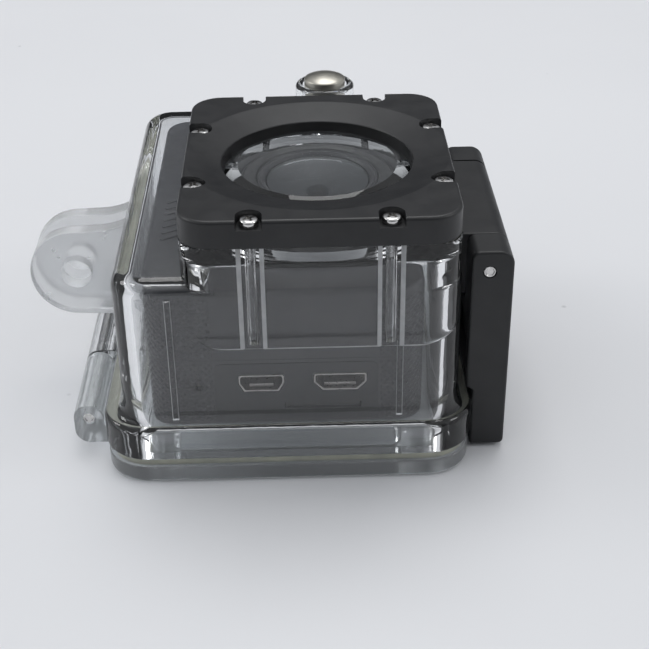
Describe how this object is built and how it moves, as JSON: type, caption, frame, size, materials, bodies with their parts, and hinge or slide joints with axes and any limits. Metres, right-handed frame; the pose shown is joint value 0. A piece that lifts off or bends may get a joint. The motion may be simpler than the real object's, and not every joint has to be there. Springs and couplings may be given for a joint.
{
  "type": "action camera in waterproof housing",
  "caption": "Small action camera sealed in a clear dive housing with a bevelled lens window, hinged back door, black latch, sprung buttons and a two-finger mount.",
  "frame": {"origin": "on the lens axis, at the outer flat face of the closed back door, which the part lies on", "axes": "+Z is the way the lens looks, +X is the camera's top where the latch is, -X its bottom where the mount fingers are, and Y is the way the mount fingers' hole runs, with the sockets on the -Y side"},
  "size_m": [0.0754, 0.0727, 0.044],
  "materials": {
    "clear_plastic": "clear moulded polycarbonate, polished",
    "black_plastic": "satin black moulded plastic",
    "steel": "bright polished steel",
    "button_metal": "turned and polished metal",
    "window_glass": "clear bevelled window",
    "seal_rubber": "soft black seal",
    "door_seal": "pale translucent silicone seal",
    "camera_plastic": "dark grey knurled plastic",
    "panel_plastic": "plain satin grey panel",
    "lens_black": "matt black lens trim",
    "lens_grey": "satin dark grey ring",
    "lens_glass": "coated lens glass",
    "key_grey": "satin grey key",
    "key_black": "soft black key",
    "board_green": "circuit board laminate",
    "battery_wrap": "blue shrink wrap",
    "screen_black": "black screen glass",
    "lcd": "unlit display",
    "card_black": "memory card plastic",
    "led_blue": "blue light pipe"
  },
  "bodies": {
    "housing": {"housing_shell": "clear_plastic", "mount_fingers": "clear_plastic", "lens_plate": "black_plastic", "plate_screws": "steel", "window_glass": "window_glass", "window_gasket": "seal_rubber", "hinge_pin": "steel", "latch_bracket": "black_plastic", "latch_pin": "steel", "front_button_spring": "steel", "front_button_seal": "seal_rubber", "top_button_spring": "steel", "top_button_seal": "seal_rubber", "up_button_spring": "steel", "up_button_seal": "seal_rubber", "down_button_spring": "steel", "down_button_seal": "seal_rubber", "camera_front_shell": "camera_plastic", "camera_rear_shell": "camera_plastic", "port_panel": "panel_plastic", "lens_barrel": "lens_black", "lens_bezel": "lens_grey", "lens_cover_glass": "lens_glass", "lens_baffle": "lens_black", "front_lens": "lens_glass", "rear_lens": "lens_glass", "image_sensor": "board_green", "main_board": "board_green", "battery": "battery_wrap", "battery_door": "camera_plastic", "lcd_panel": "lcd", "screen_glass": "screen_black", "usb_port": "steel", "hdmi_port": "steel", "card_reader": "steel", "memory_card": "card_black", "speaker": "lens_black", "microphone": "steel", "status_led": "led_blue", "camera_screws": "steel"},
    "door": {"door_panel": "clear_plastic", "door_gasket": "door_seal"},
    "latch": {"latch_lever": "black_plastic"},
    "front_plunger": {"front_button": "button_metal", "front_button_clip": "steel"},
    "front_camera_key": {"front_key": "key_grey"},
    "top_plunger": {"top_button": "button_metal", "top_button_clip": "steel"},
    "top_camera_key": {"top_key": "key_grey"},
    "up_plunger": {"up_button": "button_metal", "up_button_clip": "steel"},
    "up_camera_key": {"up_key": "key_black"},
    "down_plunger": {"down_button": "button_metal", "down_button_clip": "steel"},
    "down_camera_key": {"down_key": "key_black"}
  },
  "joints": [
    {"name": "door_hinge", "type": "hinge", "parent": "housing", "child": "door", "pos_m": [-0.0365, 0.0109, 0.0057], "axis": [0, 1, 0], "range_deg": [0, 120]},
    {"name": "latch_hinge", "type": "hinge", "parent": "housing", "child": "latch", "pos_m": [0.0247, 0.0032, 0.0313], "axis": [0, -1, 0], "range_deg": [0, 105]},
    {"name": "front_press", "type": "slide", "parent": "housing", "child": "front_plunger", "axis": [0, 0, -1], "range_m": [0, 0.0012], "stiffness_N_per_m": 120, "springref_m": -0.004, "deforming": ["front_button_spring"]},
    {"name": "front_key_press", "type": "slide", "parent": "housing", "child": "front_camera_key", "axis": [0, 0, -1], "range_m": [0, 0.0003]},
    {"name": "top_press", "type": "slide", "parent": "housing", "child": "top_plunger", "axis": [-1, 0, 0], "range_m": [0, 0.0012], "stiffness_N_per_m": 120, "springref_m": -0.004, "deforming": ["top_button_spring"]},
    {"name": "top_key_press", "type": "slide", "parent": "housing", "child": "top_camera_key", "axis": [-1, 0, 0], "range_m": [0, 0.0003]},
    {"name": "up_press", "type": "slide", "parent": "housing", "child": "up_plunger", "axis": [0, -1, 0], "range_m": [0, 0.0012], "stiffness_N_per_m": 120, "springref_m": -0.004, "deforming": ["up_button_spring"]},
    {"name": "up_key_press", "type": "slide", "parent": "housing", "child": "up_camera_key", "axis": [0, -1, 0], "range_m": [0, 0.0003]},
    {"name": "down_press", "type": "slide", "parent": "housing", "child": "down_plunger", "axis": [0, -1, 0], "range_m": [0, 0.0012], "stiffness_N_per_m": 120, "springref_m": -0.004, "deforming": ["down_button_spring"]},
    {"name": "down_key_press", "type": "slide", "parent": "housing", "child": "down_camera_key", "axis": [0, -1, 0], "range_m": [0, 0.0003]}
  ],
  "couplings": [
    {"joint": "front_key_press", "follows": "front_press", "ratio": 0.25},
    {"joint": "top_key_press", "follows": "top_press", "ratio": 0.25},
    {"joint": "up_key_press", "follows": "up_press", "ratio": 0.25},
    {"joint": "down_key_press", "follows": "down_press", "ratio": 0.25}
  ]
}
